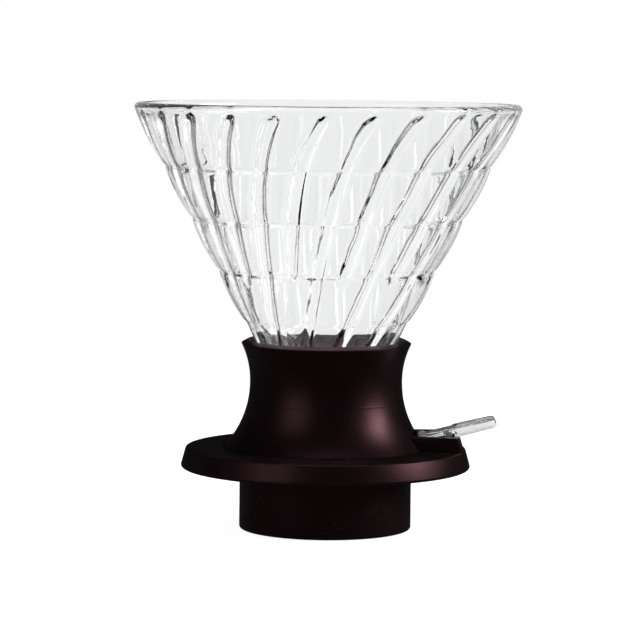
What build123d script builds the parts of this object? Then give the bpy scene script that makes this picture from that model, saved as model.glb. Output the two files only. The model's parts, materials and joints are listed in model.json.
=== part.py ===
from build123d import *
import math
import os

# Immersion pour over dripper, in millimetres.
# A ribbed glass cone stands in a waisted holder. A steel ball seals the holder's outlet, and a clear lever
# that turns on a pin in the stand pushes the ball up to let the brew out. The stand's skirt drops into the
# mouth of a mug or server, and its disc rests on the rim.
# Frame: the origin is on the axis at the skirt's lower edge, +Z is up and +X points along the lever.

# Stand: skirt, disc and the two guards beside the lever
SKIRT_RADIUS = 31.4
SKIRT_WALL = 3.5
SKIRT_HEIGHT = 22.4
SKIRT_EDGE_RADIUS = 0.8
DISC_RADIUS = 53.1
DISC_EDGE_HEIGHT = 7.2
DISC_EDGE_TAPER = 2.0
DISC_HUB_RISE = 0.3
DISC_EDGE_RADIUS = 1.0
GUARD_HEIGHT = 5.2
GUARD_ROOT = 0.9
GUARD_THICKNESS = 5.0
GUARD_TOP_RADIUS = 0.8

# Holder: waisted sleeve outside, funnel and throat inside
FOOT_BEYOND_SKIRT = 5.7
WAIST_RADIUS = 27.75
FOOT_TO_WAIST = 24.1
WAIST_TO_LIP = 13.9
LIP_ROOM = 2.4
LIP_BEVEL_WIDTH = 2.4
LIP_BEVEL_HEIGHT = 1.35
HOLDER_WALL = 3.2
FUNNEL_WALL = 3.0
RECESS_DEPTH = 3.6
RECESS_DRAFT = 1.1
RECESS_FLOOR_FALL = 1.0
THROAT_WALL = 3.4
HOLLOW_BELOW_WAIST = 4.0
SPIGOT_WALL = 1.9
SPIGOT_DEPTH = 3.0
SPIGOT_INSET = 1.8

# Glass cone
GLASS_RIM_RADIUS = 70.2
GLASS_HEIGHT_ABOVE_LIP = 85.8
GLASS_DEPTH_IN_HOLDER = 24.7
GLASS_FOOT_RADIUS = 13.3
GLASS_WALL = 3.2
GLASS_RIM_BEAD = 3.6
TOP_BAND_HEIGHT = 22.7
LOW_RING_ABOVE_LIP = 6.3
BAND_COUNT = 4
BAND_BULGE = 0.9
LONG_RIB_COUNT = 12
RIB_HEIGHT = 1.8
RIB_END_HEIGHT = 0.27
RIB_ROOT_ANGLE = 7.4
RIB_CREST_ANGLE = 3.6
RIB_ROOT_BITE = 1.2
RIB_TOP_BELOW_RIM = 4.4
LONG_RIB_ABOVE_FOOT = 7.5
SHORT_RIB_BANDS = 3
RIB_SWEEP = 29.0
RIB_SWEEP_HEIGHT = 78.0
RIB_PHASE = -76.7
RIB_STEPS = 7

# Valve: ball, seat ring and the outlet through it
BALL_RADIUS = 7.94
THROAT_CLEARANCE = 1.86
SEAT_LEDGE = 1.2
SEAT_LAND = 0.2
SEAT_THICKNESS = 2.7
SEAT_CHAMFER = 2.2
OUTLET_BELOW_FOOT = 4.4

# Lever and its pin
PIVOT_INSIDE_FOOT = 1.7
PIVOT_ABOVE_FOOT = 3.1
PIN_RADIUS = 1.1
PIN_GRIP = 3.25
LEVER_RISE = 13.0
LEVER_TRAVEL = 10.0
LEVER_WIDTH = 16.0
BARREL_RADIUS = 2.2
ARM_THICKNESS = 2.0
ARM_WIDTH = 11.0
ARM_OFFSET = 0.9
PADDLE_START = 11.7
PADDLE_END = 27.6
PADDLE_THICKNESS = 3.3
STOP_BAR_REACH = 9.6
STOP_BAR_RADIUS = 1.3
PADDLE_CORNER_RADIUS = 3.0
INNER_ARM_WIDTH = 8.0
INNER_ARM_THICKNESS = 2.6
DROP_INSET = 2.2
DROP_LEAN = 1.6
LIFT_BAR_THICKNESS = 2.5
LIFT_RING_RADIUS = 11.5
LIFT_RING_WIDTH = 2.5
LIFT_POST_RADIUS = 2.5

# Clearances
GLASS_GAP = 0.35
BALL_GAP = 0.1
POST_GAP = 0.15
STOP_GAP = 0.4
LEVER_SIDE_GAP = 0.75
PIN_GAP = 0.05
PIN_HOLE_GAP = 0.02
SPIGOT_GAP = 0.1
SLOT_GAP = 1.2

# Heights and radii that follow from the sizes above
disc_edge_top = SKIRT_HEIGHT + DISC_EDGE_HEIGHT
foot_z = disc_edge_top + DISC_HUB_RISE
waist_z = foot_z + FOOT_TO_WAIST
lip_corner_z = waist_z + WAIST_TO_LIP
lip_z = lip_corner_z + LIP_BEVEL_HEIGHT
skirt_bore = SKIRT_RADIUS - SKIRT_WALL
foot_radius = SKIRT_RADIUS + FOOT_BEYOND_SKIRT
pivot_reach = foot_radius - PIVOT_INSIDE_FOOT
disc_top_radius = DISC_RADIUS - DISC_EDGE_TAPER
guard_top_z = disc_edge_top + GUARD_HEIGHT
slot_half_width = LEVER_WIDTH / 2 + LEVER_SIDE_GAP

glass_top_z = lip_z + GLASS_HEIGHT_ABOVE_LIP
glass_foot_z = lip_z - GLASS_DEPTH_IN_HOLDER
rim_roll = GLASS_RIM_BEAD / 2
rim_z = glass_top_z - rim_roll
cone_slope = (GLASS_RIM_RADIUS - GLASS_FOOT_RADIUS) / (rim_z - glass_foot_z)
cone_cos = math.cos(math.atan(cone_slope))
wall_across = GLASS_WALL / cone_cos
gap_across = GLASS_GAP / cone_cos
lip_radius = GLASS_RIM_RADIUS - (rim_z - lip_z) * cone_slope + LIP_ROOM + LIP_BEVEL_WIDTH
top_ring_z = glass_top_z - TOP_BAND_HEIGHT
low_ring_z = lip_z + LOW_RING_ABOVE_LIP
band_pitch = (top_ring_z - low_ring_z) / (BAND_COUNT - 1)

throat_radius = BALL_RADIUS + THROAT_CLEARANCE
throat_outer = throat_radius + THROAT_WALL
seat_radius = throat_radius + SEAT_LEDGE
seat_bore = BALL_RADIUS / math.sqrt(2) - SEAT_LAND
outlet_z = foot_z - OUTLET_BELOW_FOOT
seat_top_z = outlet_z + SEAT_THICKNESS
seat_apex_z = seat_top_z - SEAT_CHAMFER - seat_bore
ball_z = seat_apex_z + math.sqrt(2) * (BALL_RADIUS + BALL_GAP)

pivot_z = foot_z + PIVOT_ABOVE_FOOT
post_top_z = ball_z - BALL_RADIUS - POST_GAP
travel = math.radians(LEVER_TRAVEL)
bar_top_z = outlet_z - STOP_GAP - pivot_reach * math.sin(travel) - (LIFT_RING_RADIUS * math.sin(travel))
arch_top_z = pivot_z + BARREL_RADIUS + SLOT_GAP


def outer_radius(z):
    """Radius of the cone's outer line, which the bands bulge out from."""
    return GLASS_RIM_RADIUS - (rim_z - z) * cone_slope


def inner_radius(z):
    """Radius of the cone's smooth inside, between the ribs."""
    return outer_radius(z) - wall_across


def turned(outline):
    """Solid of revolution about Z of a closed outline drawn in the XZ plane."""
    return revolve(make_face(Plane.XZ * outline), axis=Axis.Z)


def band_arc(z_top, z_low):
    """Outer outline of one band of the cone, an arc that bulges out between two rings."""
    top = Vector(outer_radius(z_top), z_top)
    low = Vector(outer_radius(z_low), z_low)
    out = Vector(1, -cone_slope) * cone_cos
    return ThreePointArc(top, (top + low) / 2 + out * BAND_BULGE, low)


def rib_angle(z):
    """Turn of a rib about the axis, in degrees, at one height. It leans most near the rim and the foot."""
    down = (glass_top_z - RIB_TOP_BELOW_RIM - z) / RIB_SWEEP_HEIGHT
    return -RIB_SWEEP * (1.52 * down - 1.77 * down**2 + 1.25 * down**3)


def rib(z_low, start_angle):
    """One raised rib on the cone's inside, from z_low to just below the rim."""
    z_top = glass_top_z - RIB_TOP_BELOW_RIM
    sections = []
    for step in range(RIB_STEPS + 1):
        z = z_low + (z_top - z_low) * step / RIB_STEPS
        height = RIB_HEIGHT if 0 < step < RIB_STEPS else RIB_END_HEIGHT
        middle = start_angle + rib_angle(z)
        root = inner_radius(z) + RIB_ROOT_BITE
        crest = inner_radius(z) - height
        corners = [
            (root, -RIB_ROOT_ANGLE / 2),
            (crest, -RIB_CREST_ANGLE / 2),
            (crest, RIB_CREST_ANGLE / 2),
            (root, RIB_ROOT_ANGLE / 2),
        ]
        points = []
        for radius, offset in corners:
            angle = math.radians(middle + offset)
            points.append((radius * math.cos(angle), radius * math.sin(angle), z))
        sections.append(make_face(Polyline(*points, close=True)))
    return loft(sections, ruled=True)


def make_glass_cone():
    """Pressed glass cone: rolled rim, four bulging bands outside, spiral ribs inside, open foot."""
    rings = [rim_z] + [top_ring_z - i * band_pitch for i in range(BAND_COUNT)]
    outline = [band_arc(rings[i], rings[i + 1]) for i in range(BAND_COUNT)]
    outer_foot = (outer_radius(glass_foot_z), glass_foot_z)
    inner_foot = (inner_radius(glass_foot_z), glass_foot_z)
    inner_rim = (inner_radius(rim_z), rim_z)
    outline.append(Line((outer_radius(low_ring_z), low_ring_z), outer_foot))
    outline.append(Line(outer_foot, inner_foot))
    outline.append(Line(inner_foot, inner_rim))
    outline.append(ThreePointArc(inner_rim, (outer_radius(rim_z) - rim_roll, glass_top_z), (outer_radius(rim_z), rim_z)))
    shell = turned(Curve() + outline)
    long_foot = glass_foot_z + LONG_RIB_ABOVE_FOOT
    short_foot = top_ring_z - (SHORT_RIB_BANDS - 1) * band_pitch
    pitch = 360 / LONG_RIB_COUNT
    ribs = []
    for i in range(LONG_RIB_COUNT):
        ribs.append(rib(long_foot, RIB_PHASE + i * pitch))
        ribs.append(rib(short_foot, RIB_PHASE + (i + 0.5) * pitch))
    return shell.fuse(*ribs)


def holder_outside():
    """Outer outline of the holder from its foot up to the lip: two arcs that meet upright at the waist."""
    waist = (WAIST_RADIUS, waist_z)
    lower = TangentArc(waist, (foot_radius, foot_z), tangent=(0, -1))
    upper = TangentArc(waist, (lip_radius, lip_corner_z), tangent=(0, 1))
    return lower, upper


def holder_inside_arc():
    """Inside of the holder's sleeve, one wall in from the lower arc, from the hollow's top down to the foot."""
    rise = FOOT_TO_WAIST
    flare = foot_radius - WAIST_RADIUS
    arc_radius = (flare**2 + rise**2) / (2 * flare)
    centre = WAIST_RADIUS + arc_radius
    inside = arc_radius + HOLDER_WALL

    def at(z):
        return (centre - math.sqrt(inside**2 - (waist_z - z) ** 2), z)

    top = waist_z - HOLLOW_BELOW_WAIST
    return ThreePointArc(at(top), at((top + foot_z) / 2), at(foot_z))


def make_holder():
    """Holder: the sleeve that shows, the funnel the glass stands in, and the throat round the ball."""
    funnel_across = gap_across + FUNNEL_WALL / cone_cos
    ledge_z = glass_foot_z - GLASS_GAP
    recess_z = lip_z - RECESS_DEPTH
    funnel_top = recess_z - RECESS_FLOOR_FALL
    lower, upper = holder_outside()
    inside = holder_inside_arc()
    hollow_top = inside @ 0
    foot_inner = inside @ 1
    spigot_inner = foot_radius - SPIGOT_INSET - SPIGOT_WALL
    points = [
        upper @ 1,
        (lip_radius - LIP_BEVEL_WIDTH, lip_z),
        (lip_radius - LIP_BEVEL_WIDTH - RECESS_DRAFT, recess_z),
        (outer_radius(funnel_top) + gap_across, funnel_top),
        (outer_radius(ledge_z) + gap_across, ledge_z),
        (throat_radius, ledge_z),
        (throat_radius, seat_top_z),
        (seat_radius, seat_top_z),
        (seat_radius, outlet_z),
        (throat_outer, outlet_z),
        (throat_outer, ledge_z - FUNNEL_WALL / 2),
        (outer_radius(hollow_top.Y) + funnel_across, hollow_top.Y),
        hollow_top,
    ]
    foot = [
        foot_inner,
        (spigot_inner, foot_z),
        (spigot_inner, foot_z - SPIGOT_DEPTH),
        (spigot_inner + SPIGOT_WALL, foot_z - SPIGOT_DEPTH),
        (spigot_inner + SPIGOT_WALL, foot_z),
        lower @ 1,
    ]
    body = turned(Curve() + [lower, upper, Polyline(*points), inside, Polyline(*foot)])
    arch_height = arch_top_z - foot_z + SPIGOT_DEPTH
    arch = Pos(pivot_reach, 0, foot_z - SPIGOT_DEPTH + arch_height / 2) * Box(
        2 * (pivot_reach - throat_outer - FUNNEL_WALL), 2 * slot_half_width, arch_height
    )
    return body - arch


def make_valve_seat():
    """Soft ring at the throat's lower end, with the sloping face that the ball seals on."""
    outline = Polyline(
        (seat_bore, outlet_z),
        (seat_radius, outlet_z),
        (seat_radius, seat_top_z),
        (seat_bore + SEAT_CHAMFER, seat_top_z),
        (seat_bore, seat_top_z - SEAT_CHAMFER),
        close=True,
    )
    return turned(outline)


def make_valve_ball():
    """Steel ball, resting on the seat."""
    return Pos(0, 0, ball_z) * Sphere(BALL_RADIUS)


def taper_radius(z):
    """Radius of the disc's sloping edge, which the ends of the guards carry on upwards."""
    return DISC_RADIUS - DISC_EDGE_TAPER * (z - SKIRT_HEIGHT) / DISC_EDGE_HEIGHT


def make_stand():
    """Stand: skirt, disc with a sloping edge, groove for the holder's spigot, and the lever's guards."""
    hub = turned(
        Polyline(
            (skirt_bore, 0),
            (SKIRT_RADIUS, 0),
            (SKIRT_RADIUS, SKIRT_HEIGHT),
            (DISC_RADIUS, SKIRT_HEIGHT),
            (disc_top_radius, disc_edge_top),
            (foot_radius, foot_z),
            (skirt_bore, foot_z),
            close=True,
        )
    )
    foot_edge = hub.edges().filter_by(GeomType.CIRCLE).group_by(Axis.Z)[0].sort_by(SortBy.RADIUS)[-1]
    hub = fillet(foot_edge, SKIRT_EDGE_RADIUS)
    rim_edge = hub.edges().filter_by(GeomType.CIRCLE).sort_by(SortBy.RADIUS)[-1]
    hub = fillet(rim_edge, DISC_EDGE_RADIUS)

    guard_low_z = disc_edge_top - GUARD_ROOT
    guard_z = (guard_low_z + guard_top_z) / 2
    reach = DISC_RADIUS - WAIST_RADIUS
    guards = []
    for side in (-1, 1):
        block = Pos(WAIST_RADIUS + reach / 2, side * (slot_half_width + GUARD_THICKNESS / 2), guard_z) * Box(
            reach, GUARD_THICKNESS, guard_top_z - guard_low_z
        )
        block = fillet(block.edges().filter_by(Axis.X).group_by(Axis.Z)[-1], GUARD_TOP_RADIUS)
        guards.append(block)
    keep = turned(
        Polyline(
            (0, guard_low_z),
            (taper_radius(guard_low_z), guard_low_z),
            (taper_radius(guard_top_z), guard_top_z),
            (0, guard_top_z),
            close=True,
        )
    )
    lower, _ = holder_outside()
    centre = lower.arc_center
    shy = ThreePointArc(*[centre + (lower @ t - centre) * (1 - SPIGOT_GAP / lower.radius) for t in (0, 0.5, 1)])
    sleeve = turned(
        Curve()
        + [shy, Polyline(shy @ 1, (foot_radius + SPIGOT_GAP, foot_z), (0, foot_z), (0, waist_z), shy @ 0)]
    )
    stand = hub
    for block in guards:
        stand = stand + ((block & keep) - sleeve)

    spigot_inner = foot_radius - SPIGOT_INSET - SPIGOT_WALL
    groove = turned(
        Polyline(
            (spigot_inner - SPIGOT_GAP, foot_z - SPIGOT_DEPTH - SPIGOT_GAP),
            (spigot_inner + SPIGOT_WALL + SPIGOT_GAP, foot_z - SPIGOT_DEPTH - SPIGOT_GAP),
            (spigot_inner + SPIGOT_WALL + SPIGOT_GAP, foot_z),
            (spigot_inner - SPIGOT_GAP, foot_z),
            close=True,
        )
    )
    pin_hole = Pos(pivot_reach, 0, pivot_z) * Rot(90, 0, 0) * Cylinder(
        PIN_RADIUS + PIN_HOLE_GAP, 2 * (slot_half_width + PIN_GRIP)
    )
    relief_depth = SLOT_GAP + INNER_ARM_THICKNESS / 2
    relief = Pos(skirt_bore, 0, foot_z - relief_depth / 2) * Box(
        2 * (spigot_inner - SPIGOT_GAP - skirt_bore), INNER_ARM_WIDTH + 2 * LEVER_SIDE_GAP, relief_depth
    )
    return stand - groove - pin_hole - relief


def lever_outer():
    """Barrel, arm and paddle of the lever, level along +X with the pivot at the origin."""
    barrel = Rot(90, 0, 0) * Cylinder(BARREL_RADIUS, LEVER_WIDTH)
    arm = Pos(PADDLE_START / 2, 0, ARM_OFFSET) * Box(PADDLE_START, ARM_WIDTH, ARM_THICKNESS)
    length = PADDLE_END - PADDLE_START
    paddle = Pos(PADDLE_START + length / 2, 0, ARM_OFFSET + (ARM_THICKNESS - PADDLE_THICKNESS) / 2) * Box(
        length, LEVER_WIDTH, PADDLE_THICKNESS
    )
    corners = paddle.edges().filter_by(Axis.Z).group_by(Axis.X)[-1]
    paddle = fillet(corners, PADDLE_CORNER_RADIUS)
    arm_under = ARM_OFFSET - ARM_THICKNESS / 2
    stop_bar = Pos(STOP_BAR_REACH, 0, arm_under) * Rot(90, 0, 0) * Cylinder(STOP_BAR_RADIUS, ARM_WIDTH)
    return barrel + arm + paddle + stop_bar


def lever_inner():
    """The hidden end: an arm that drops inside the skirt to a ring, a crossbar and the post under the ball."""
    drop_x = skirt_bore - DROP_INSET
    bar_z = bar_top_z - LIFT_BAR_THICKNESS / 2
    route = Polyline(
        (pivot_reach, pivot_z),
        (drop_x, pivot_z - (pivot_reach - drop_x) * math.tan(math.radians(LEVER_RISE))),
        (drop_x - DROP_LEAN, bar_z),
        (LIFT_RING_RADIUS - LIFT_RING_WIDTH, bar_z),
    )
    strip = offset(route, INNER_ARM_THICKNESS / 2, kind=Kind.ARC, side=Side.BOTH)
    arm = extrude(make_face(Plane.XZ * strip), INNER_ARM_WIDTH / 2, both=True)
    ring = Pos(0, 0, bar_z) * (
        Cylinder(LIFT_RING_RADIUS, LIFT_BAR_THICKNESS)
        - Cylinder(LIFT_RING_RADIUS - LIFT_RING_WIDTH, LIFT_BAR_THICKNESS)
    )
    bar = Pos(0, 0, bar_z) * Box(2 * LIFT_RING_RADIUS - LIFT_RING_WIDTH, 2 * LIFT_POST_RADIUS, LIFT_BAR_THICKNESS)
    post_height = post_top_z - bar_z
    post = Pos(0, 0, bar_z + post_height / 2) * Cylinder(LIFT_POST_RADIUS, post_height)
    return arm + ring + bar + post


def make_switch_lever():
    """Clear lever, shut: its paddle stands up at the rise angle and its post is just under the ball."""
    outer = Pos(pivot_reach, 0, pivot_z) * Rot(0, -LEVER_RISE, 0) * lever_outer()
    bore = Pos(pivot_reach, 0, pivot_z) * Rot(90, 0, 0) * Cylinder(PIN_RADIUS + PIN_GAP, 2 * slot_half_width)
    return outer + lever_inner() - bore


def make_lever_pin():
    """Steel pin across the slot, held in blind holes in the two guards."""
    return Pos(pivot_reach, 0, pivot_z) * Rot(90, 0, 0) * Cylinder(PIN_RADIUS, 2 * (slot_half_width + PIN_GRIP))


PARTS = {
    "glass_cone": make_glass_cone,
    "holder": make_holder,
    "valve_seat": make_valve_seat,
    "valve_ball": make_valve_ball,
    "stand": make_stand,
    "switch_lever": make_switch_lever,
    "lever_pin": make_lever_pin,
}

os.makedirs("parts", exist_ok=True)
for name, make in PARTS.items():
    export_step(make(), f"parts/{name}.step")
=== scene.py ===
"""Immersion pour over dripper: ribbed glass cone, soft holder and stand, ball valve and clear lever.

Every size is in metres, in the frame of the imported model: the origin is on the axis at the skirt's lower edge,
+Z is up and +X runs from the axis towards the lever's tip.
"""

import json
import logging
import math
from dataclasses import dataclass, field
from enum import Enum
from typing import Callable, Iterable, Optional, Sequence

import bmesh
import bpy
from mathutils import Matrix, Vector


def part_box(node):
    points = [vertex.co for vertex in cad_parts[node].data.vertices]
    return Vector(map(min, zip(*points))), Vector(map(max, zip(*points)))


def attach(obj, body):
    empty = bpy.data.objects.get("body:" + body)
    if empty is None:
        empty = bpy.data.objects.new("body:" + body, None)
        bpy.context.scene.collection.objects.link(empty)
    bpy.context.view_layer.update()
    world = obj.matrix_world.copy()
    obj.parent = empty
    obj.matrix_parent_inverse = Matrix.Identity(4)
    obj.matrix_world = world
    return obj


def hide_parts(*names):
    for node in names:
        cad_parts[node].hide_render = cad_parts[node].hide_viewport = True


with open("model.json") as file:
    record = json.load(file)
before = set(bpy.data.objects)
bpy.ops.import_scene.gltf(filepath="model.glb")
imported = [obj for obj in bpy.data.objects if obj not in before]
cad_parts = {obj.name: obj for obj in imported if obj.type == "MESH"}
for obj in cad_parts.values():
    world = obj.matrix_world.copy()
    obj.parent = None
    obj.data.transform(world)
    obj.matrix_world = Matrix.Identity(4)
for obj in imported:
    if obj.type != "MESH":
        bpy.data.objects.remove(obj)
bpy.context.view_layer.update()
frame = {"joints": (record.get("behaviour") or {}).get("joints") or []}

LOG = logging.getLogger("dripper")
MM = 0.001
# How much finer than the rest a pattern is along each axis.
DRAW_STRETCH = (14.0, 14.0, 2600.0)
LINT_STRETCH = (1.0, 1.0, 9.0)
SCRATCH_STRETCH = (9.0, 1.0, 6.0)
Point = tuple[float, float]
Socket = bpy.types.NodeSocket


class Cut(Enum):
    """How one closed mesh is combined with another."""

    ADD = "UNION"
    TAKE = "DIFFERENCE"
    KEEP = "INTERSECT"


# ---------------------------------------------------------------- node wiring


class Wiring:
    """Short calls that add nodes to a tree and join them."""

    def __init__(self, tree: bpy.types.NodeTree) -> None:
        """Works on one tree.

        Args:
            tree: The shader or geometry tree that the nodes are added to.
        """
        self.tree = tree

    def add(self, kind: str, inputs: Optional[dict] = None, **settings: object) -> bpy.types.Node:
        """Adds a node.

        Args:
            kind: The node's type name.
            inputs: What each input gets, by name or number: a socket is linked, anything else is a value.
            settings: Attributes of the node itself, such as operation.

        Returns:
            The new node.
        """
        node = self.tree.nodes.new(kind)
        for name, value in settings.items():
            setattr(node, name, value)
        for name, value in (inputs or {}).items():
            self.feed(node.inputs[name], value)
        return node

    def feed(self, target: Socket, value: object) -> None:
        """Links a socket to an input, or sets the input's own value.

        Args:
            target: The input.
            value: A socket, a number, a colour or a vector.
        """
        if isinstance(value, bpy.types.NodeSocket):
            self.tree.links.new(value, target)
        else:
            target.default_value = value

    def math(self, operation: str, first: object, second: object = 0.0, third: object = 0.0) -> Socket:
        """Adds a Math node.

        Args:
            operation: The node's operation, such as MULTIPLY.
            first: The first value or socket.
            second: The second value or socket.
            third: The third value or socket, which only a few operations read.

        Returns:
            The node's output.
        """
        node = self.add("ShaderNodeMath", operation=operation)
        for slot, value in zip(node.inputs, (first, second, third)):
            self.feed(slot, value)
        return node.outputs[0]

    def noise(self, vector: object, scale: object, detail: float = 2.0, roughness: float = 0.5) -> Socket:
        """Adds a noise texture.

        Args:
            vector: The coordinates.
            scale: How many features there are to a metre.
            detail: How many finer layers are added.
            roughness: How strong the finer layers are.

        Returns:
            The noise value, from 0 to 1.
        """
        inputs = {"Vector": vector, "Scale": scale, "Detail": detail, "Roughness": roughness}
        return self.add("ShaderNodeTexNoise", inputs).outputs[0]

    def spread(self, value: object, low: object, high: object, to_low: object = 0.0, to_high: object = 1.0) -> Socket:
        """Maps one range onto another, clamped and smooth.

        Args:
            value: What is mapped.
            low: The value that gives to_low.
            high: The value that gives to_high.
            to_low: The lower result.
            to_high: The higher result.

        Returns:
            The mapped value.
        """
        node = self.add("ShaderNodeMapRange", interpolation_type="SMOOTHSTEP")
        for slot, given in zip(node.inputs, (value, low, high, to_low, to_high)):
            self.feed(slot, given)
        return node.outputs[0]

    def place(self) -> Socket:
        """Gives the piece's own coordinates."""
        return self.add("ShaderNodeTexCoord").outputs["Object"]

    def stretched(self, vector: Socket, scale: Sequence[float]) -> Socket:
        """Scales coordinates by a number of its own along each axis."""
        return self.add("ShaderNodeVectorMath", {0: vector, 1: scale}, operation="MULTIPLY").outputs[0]

    def blend(self, share: Socket, first: object, second: Sequence[float]) -> Socket:
        """Mixes two colours.

        Args:
            share: How much of the second shows.
            first: The first colour, or a socket that gives it.
            second: The second colour.

        Returns:
            The mixed colour.
        """
        start = first if isinstance(first, bpy.types.NodeSocket) else (*first, 1)
        return self.add("ShaderNodeMix", {0: share, 6: start, 7: (*second, 1)}, data_type="RGBA").outputs[2]

    def end(self, geometry: Socket, material: Socket, name: str) -> None:
        """Ends a geometry tree: makes its copies real and gives them their material.

        Args:
            geometry: What the tree has made.
            material: The material that it gets.
            name: The name of the tree's output.
        """
        real = self.add("GeometryNodeRealizeInstances", {"Geometry": geometry})
        painted = self.add("GeometryNodeSetMaterial", {"Geometry": real.outputs[0], "Material": material})
        self.add("NodeGroupOutput", {name: painted.outputs[0]})


def socket_on(tree: bpy.types.NodeTree, name: str, kind: str, way: str = "INPUT", value: object = None) -> str:
    """Adds a named socket to a node group.

    Args:
        tree: The group.
        name: The socket's name.
        kind: Float, Int, Color, Vector, Geometry or Material.
        way: INPUT or OUTPUT.
        value: The default value, if it has one.

    Returns:
        The socket's identifier.
    """
    item = tree.interface.new_socket(name=name, in_out=way, socket_type=f"NodeSocket{kind}")
    if value is not None:
        item.default_value = value
    return item.identifier


# ---------------------------------------------------------------- shared shader effects


def group_of(name: str, inputs: dict, outputs: dict, fill: Callable) -> bpy.types.NodeTree:
    """Builds a shader node group once.

    Args:
        name: The group's name.
        inputs: Each number it takes, by name, with its usual value.
        outputs: Each thing it puts out, by name, with its socket type.
        fill: Called with the wiring and the group's inputs; returns the sockets to put out, by name.

    Returns:
        The group.
    """
    if name in bpy.data.node_groups:
        return bpy.data.node_groups[name]
    tree = bpy.data.node_groups.new(name, "ShaderNodeTree")
    for label, value in inputs.items():
        socket_on(tree, label, "Float", "INPUT", value)
    for label, kind in outputs.items():
        socket_on(tree, label, kind, "OUTPUT")
    wiring = Wiring(tree)
    given = tree.nodes.new("NodeGroupInput").outputs
    result = tree.nodes.new("NodeGroupOutput").inputs
    for label, socket in fill(wiring, given).items():
        tree.links.new(socket, result[label])
    return tree


def skin_group() -> bpy.types.NodeTree:
    """Moulded soft skin: a fine grain, level draw lines from the mould, and slow blotches of gloss.

    Returns:
        The group, which puts out Height, Roughness and Blotch.
    """

    def fill(w: Wiring, given: object) -> dict:
        """Wires the effect.

        Args:
            w: The group's wiring.
            given: The group's inputs.

        Returns:
            The sockets to put out, by name.
        """
        place = w.place()
        flat = w.stretched(place, DRAW_STRETCH)
        lines = w.noise(flat, 1.0, 3.0, 0.6)
        sparse = w.spread(w.noise(place, 60.0), 0.42, 0.7)
        grain = w.noise(place, given["Grain scale"], 2.0, 0.6)
        drawn = w.math("MULTIPLY", w.math("SUBTRACT", lines, 0.5), w.math("MULTIPLY", sparse, given["Line depth"]))
        pitted = w.math("MULTIPLY", w.math("SUBTRACT", grain, 0.5), given["Grain depth"])
        blotch = w.noise(place, 45.0, 3.0, 0.55)
        rough = w.math("MULTIPLY_ADD", w.math("SUBTRACT", blotch, 0.5), given["Gloss change"], given["Roughness"])
        rough = w.math("MULTIPLY_ADD", w.math("SUBTRACT", lines, 0.5), w.math("MULTIPLY", sparse, 0.16), rough)
        return {"Height": w.math("ADD", drawn, pitted), "Roughness": rough, "Blotch": blotch}

    inputs = {"Grain scale": 2400.0, "Grain depth": 0.35, "Line depth": 0.8, "Roughness": 0.45, "Gloss change": 0.12}
    return group_of("moulded_skin", inputs, {"Height": "Float", "Roughness": "Float", "Blotch": "Float"}, fill)


def dust_group() -> bpy.types.NodeTree:
    """Fine dust: scattered specks and a few lint streaks, thicker in some places.

    Returns:
        The group, which puts out Dust, a mask from 0 to 1.
    """

    def fill(w: Wiring, given: object) -> dict:
        """Wires the effect.

        Args:
            w: The group's wiring.
            given: The group's inputs.

        Returns:
            The sockets to put out, by name.
        """
        place = w.place()
        cells = w.add("ShaderNodeTexVoronoi", {"Vector": place, "Scale": given["Speck scale"]}, feature="F1")
        size = w.spread(cells.outputs["Distance"], 0.05, 0.22, 1.0, 0.0)
        chosen = w.spread(w.add("ShaderNodeSeparateColor", {0: cells.outputs["Color"]}).outputs[0], 0.62, 0.9)
        thick = w.spread(w.noise(place, 55.0, 3.0), 0.45, 0.68)
        lint = w.stretched(place, LINT_STRETCH)
        threads = w.spread(w.noise(lint, 420.0, 1.0), 0.70, 0.76)
        specks = w.math("MULTIPLY", size, chosen)
        both = w.math("MAXIMUM", specks, w.math("MULTIPLY", threads, 0.35))
        return {"Dust": w.math("MULTIPLY", w.math("MULTIPLY", both, thick), given["Amount"])}

    return group_of("fine_dust", {"Speck scale": 900.0, "Amount": 0.5}, {"Dust": "Float"}, fill)


def ripple_group() -> bpy.types.NodeTree:
    """Hand-finished surface of pressed glass or clear resin: slow ripples and a faint orange peel.

    Returns:
        The group, which puts out Height and Smear, a mask of faint finger smears.
    """

    def fill(w: Wiring, given: object) -> dict:
        """Wires the effect.

        Args:
            w: The group's wiring.
            given: The group's inputs.

        Returns:
            The sockets to put out, by name.
        """
        place = w.place()
        slow = w.noise(place, given["Ripple scale"], 1.0, 0.4)
        peel = w.noise(place, w.math("MULTIPLY", given["Ripple scale"], 5.0), 1.0, 0.4)
        height = w.math("MULTIPLY_ADD", peel, given["Peel"], slow)
        smear = w.spread(w.noise(place, 38.0, 4.0, 0.65), 0.58, 0.8)
        return {"Height": height, "Smear": smear}

    return group_of("pressed_ripple", {"Ripple scale": 70.0, "Peel": 0.08}, {"Height": "Float", "Smear": "Float"}, fill)


def draw_group() -> bpy.types.NodeTree:
    """Fine scratches of drawn or tumbled steel.

    Returns:
        The group, which puts out Height and Scratch, both from 0 to 1.
    """

    def fill(w: Wiring, given: object) -> dict:
        """Wires the effect.

        Args:
            w: The group's wiring.
            given: The group's inputs.

        Returns:
            The sockets to put out, by name.
        """
        place = w.place()
        long = w.stretched(place, SCRATCH_STRETCH)
        scratch = w.spread(w.noise(long, given["Scratch scale"], 4.0, 0.7), 0.45, 0.75)
        return {"Height": w.noise(place, given["Scratch scale"], 3.0), "Scratch": scratch}

    return group_of("steel_scratches", {"Scratch scale": 260.0}, {"Height": "Float", "Scratch": "Float"}, fill)


# ---------------------------------------------------------------- finishes


def new_material(name: str) -> tuple[bpy.types.Material, Wiring, bpy.types.Node]:
    """Makes an empty material.

    Args:
        name: The material's name.

    Returns:
        The material, its wiring and its Principled BSDF.
    """
    material = bpy.data.materials.new(name)
    material.use_nodes = True
    wiring = Wiring(material.node_tree)
    return material, wiring, material.node_tree.nodes["Principled BSDF"]


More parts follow.
